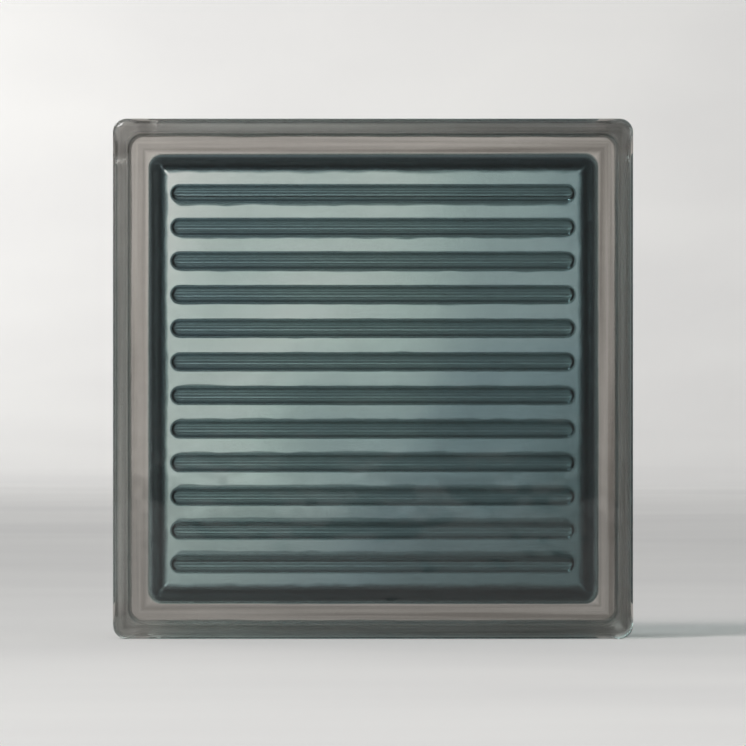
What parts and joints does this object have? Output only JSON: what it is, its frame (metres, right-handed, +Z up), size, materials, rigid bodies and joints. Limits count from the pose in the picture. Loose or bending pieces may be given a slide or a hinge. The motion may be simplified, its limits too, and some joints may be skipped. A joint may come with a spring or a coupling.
{
  "type": "glass block",
  "caption": "Square hollow glass block with horizontal reeds on the inside of its panes, full-width rims at the faces and sunk joint sides for mortar.",
  "frame": {"origin": "middle of the footprint at floor level, in the plane of the seam", "axes": "+X along the reeds, to the right seen from the front; -Y out of the front face; +Z up"},
  "size_m": [0.19, 0.08, 0.19],
  "materials": {
    "reeded_glass": "gloss"
  },
  "bodies": {
    "root": {"front_half": "reeded_glass", "back_half": "reeded_glass"}
  },
  "joints": []
}
